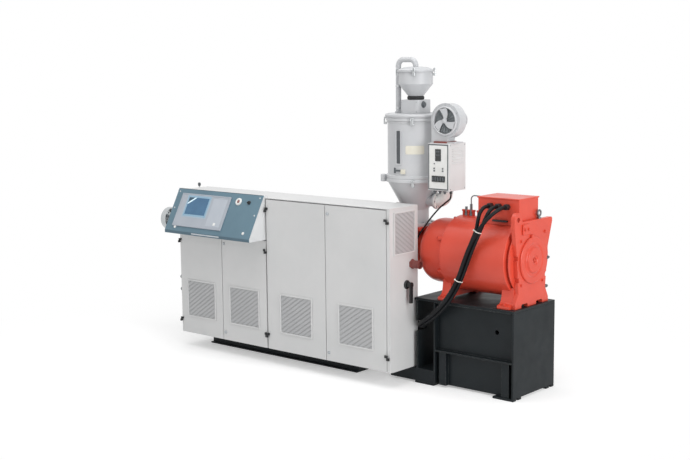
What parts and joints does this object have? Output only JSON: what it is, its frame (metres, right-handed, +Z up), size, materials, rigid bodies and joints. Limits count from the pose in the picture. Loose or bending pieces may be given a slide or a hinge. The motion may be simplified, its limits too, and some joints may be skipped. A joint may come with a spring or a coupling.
{
  "type": "plastic extruder",
  "caption": "Single-screw plastic extruder: long hinged-door control cabinet with a sloping console, heated barrel behind it, hopper dryer with vacuum loader, and a drum motor on a plinth.",
  "frame": {"origin": "on the floor under the middle of the machine's length and depth", "axes": "+X along the screw from the die end to the drive, +Y from the operator's side to the rear, +Z up"},
  "size_m": [3.989, 1.097, 2.471],
  "materials": {
    "cabinet_paint": "fine textured powder coat",
    "console_paint": "satin powder coat",
    "bezel_grey": "moulded",
    "screen_blue": "gloss",
    "black_fittings": "moulded",
    "zinc_sheet": "galvanised",
    "machine_steel": "turned",
    "heater_cover": "rolled sheet",
    "motor_paint": "gloss enamel",
    "plinth_paint": "satin enamel",
    "bed_paint": "satin enamel",
    "feed_iron": "painted casting",
    "dryer_paint": "satin enamel",
    "box_white": "satin enamel",
    "elbow_white": "moulded",
    "loader_steel": "spun",
    "black_rubber": "matt",
    "gland_plastic": "moulded",
    "clamp_steel": "pressed",
    "bright_steel": "zinc plated"
  },
  "bodies": {
    "machine": {"air_elbow": "elbow_white", "barrel": "machine_steel", "barrel_flange": "machine_steel", "barrel_heaters": "heater_cover", "barrel_pedestals": "bed_paint", "bed": "bed_paint", "blower": "box_white", "cabinet_back": "cabinet_paint", "cabinet_divider": "cabinet_paint", "cabinet_floor": "cabinet_paint", "cabinet_front_panel": "cabinet_paint", "cabinet_hinges": "black_fittings", "cabinet_posts": "cabinet_paint", "cabinet_roof": "cabinet_paint", "cabinet_side_walls": "cabinet_paint", "cable_glands": "gland_plastic", "conduit_nipple": "zinc_sheet", "console_controls": "black_fittings", "console_display": "bezel_grey", "console_housing": "console_paint", "console_panel": "console_paint", "console_screen": "screen_blue", "dryer_cable": "black_rubber", "dryer_cone": "dryer_paint", "dryer_drum": "dryer_paint", "dryer_lid": "dryer_paint", "end_vent_grille": "cabinet_paint", "feed_section": "feed_iron", "heater_box": "box_white", "lid_clamps": "clamp_steel", "loader_base": "loader_steel", "loader_gasket": "black_rubber", "loader_hopper": "loader_steel", "loader_lid": "loader_steel", "motor_bearing_cover": "motor_paint", "motor_body": "motor_paint", "motor_cable_1": "black_rubber", "motor_cable_2": "black_rubber", "motor_cable_3": "black_rubber", "motor_end_shield": "motor_paint", "motor_feet": "motor_paint", "mounting_plates": "zinc_sheet", "plinth_core": "plinth_paint", "plinth_end_plates": "plinth_paint", "plinth_feet": "plinth_paint", "plinth_sill": "plinth_paint", "plinth_top_plate": "plinth_paint", "suction_pipe": "loader_steel", "switch_base": "black_fittings", "terminal_box": "motor_paint", "water_couplings": "bright_steel"},
    "door_1": {"door_1": "cabinet_paint", "door_1_fittings": "black_fittings"},
    "door_2": {"door_2": "cabinet_paint", "door_2_fittings": "black_fittings"},
    "door_3": {"door_3": "cabinet_paint", "door_3_fittings": "black_fittings"},
    "door_4": {"door_4": "cabinet_paint", "door_4_fittings": "black_fittings"},
    "switch_handle": {"switch_handle": "black_fittings"}
  },
  "joints": [
    {"name": "door_1_hinge", "type": "hinge", "parent": "machine", "child": "door_1", "pos_m": [-1.2095, -0.3755, 0.6], "axis": [0, 0, -1], "range_deg": [0, 110]},
    {"name": "door_2_hinge", "type": "hinge", "parent": "machine", "child": "door_2", "pos_m": [-0.1875, -0.3755, 0.6], "axis": [0, 0, 1], "range_deg": [0, 90]},
    {"name": "door_3_hinge", "type": "hinge", "parent": "machine", "child": "door_3", "pos_m": [-0.1695, -0.3755, 0.6], "axis": [0, 0, -1], "range_deg": [0, 90]},
    {"name": "door_4_hinge", "type": "hinge", "parent": "machine", "child": "door_4", "pos_m": [1.0715, -0.3755, 0.6], "axis": [0, 0, 1], "range_deg": [0, 110]},
    {"name": "switch_turn", "type": "hinge", "parent": "machine", "child": "switch_handle", "pos_m": [1.1305, -0.1625, 0.772], "axis": [-1, 0, 0], "range_deg": [0, 90]}
  ]
}
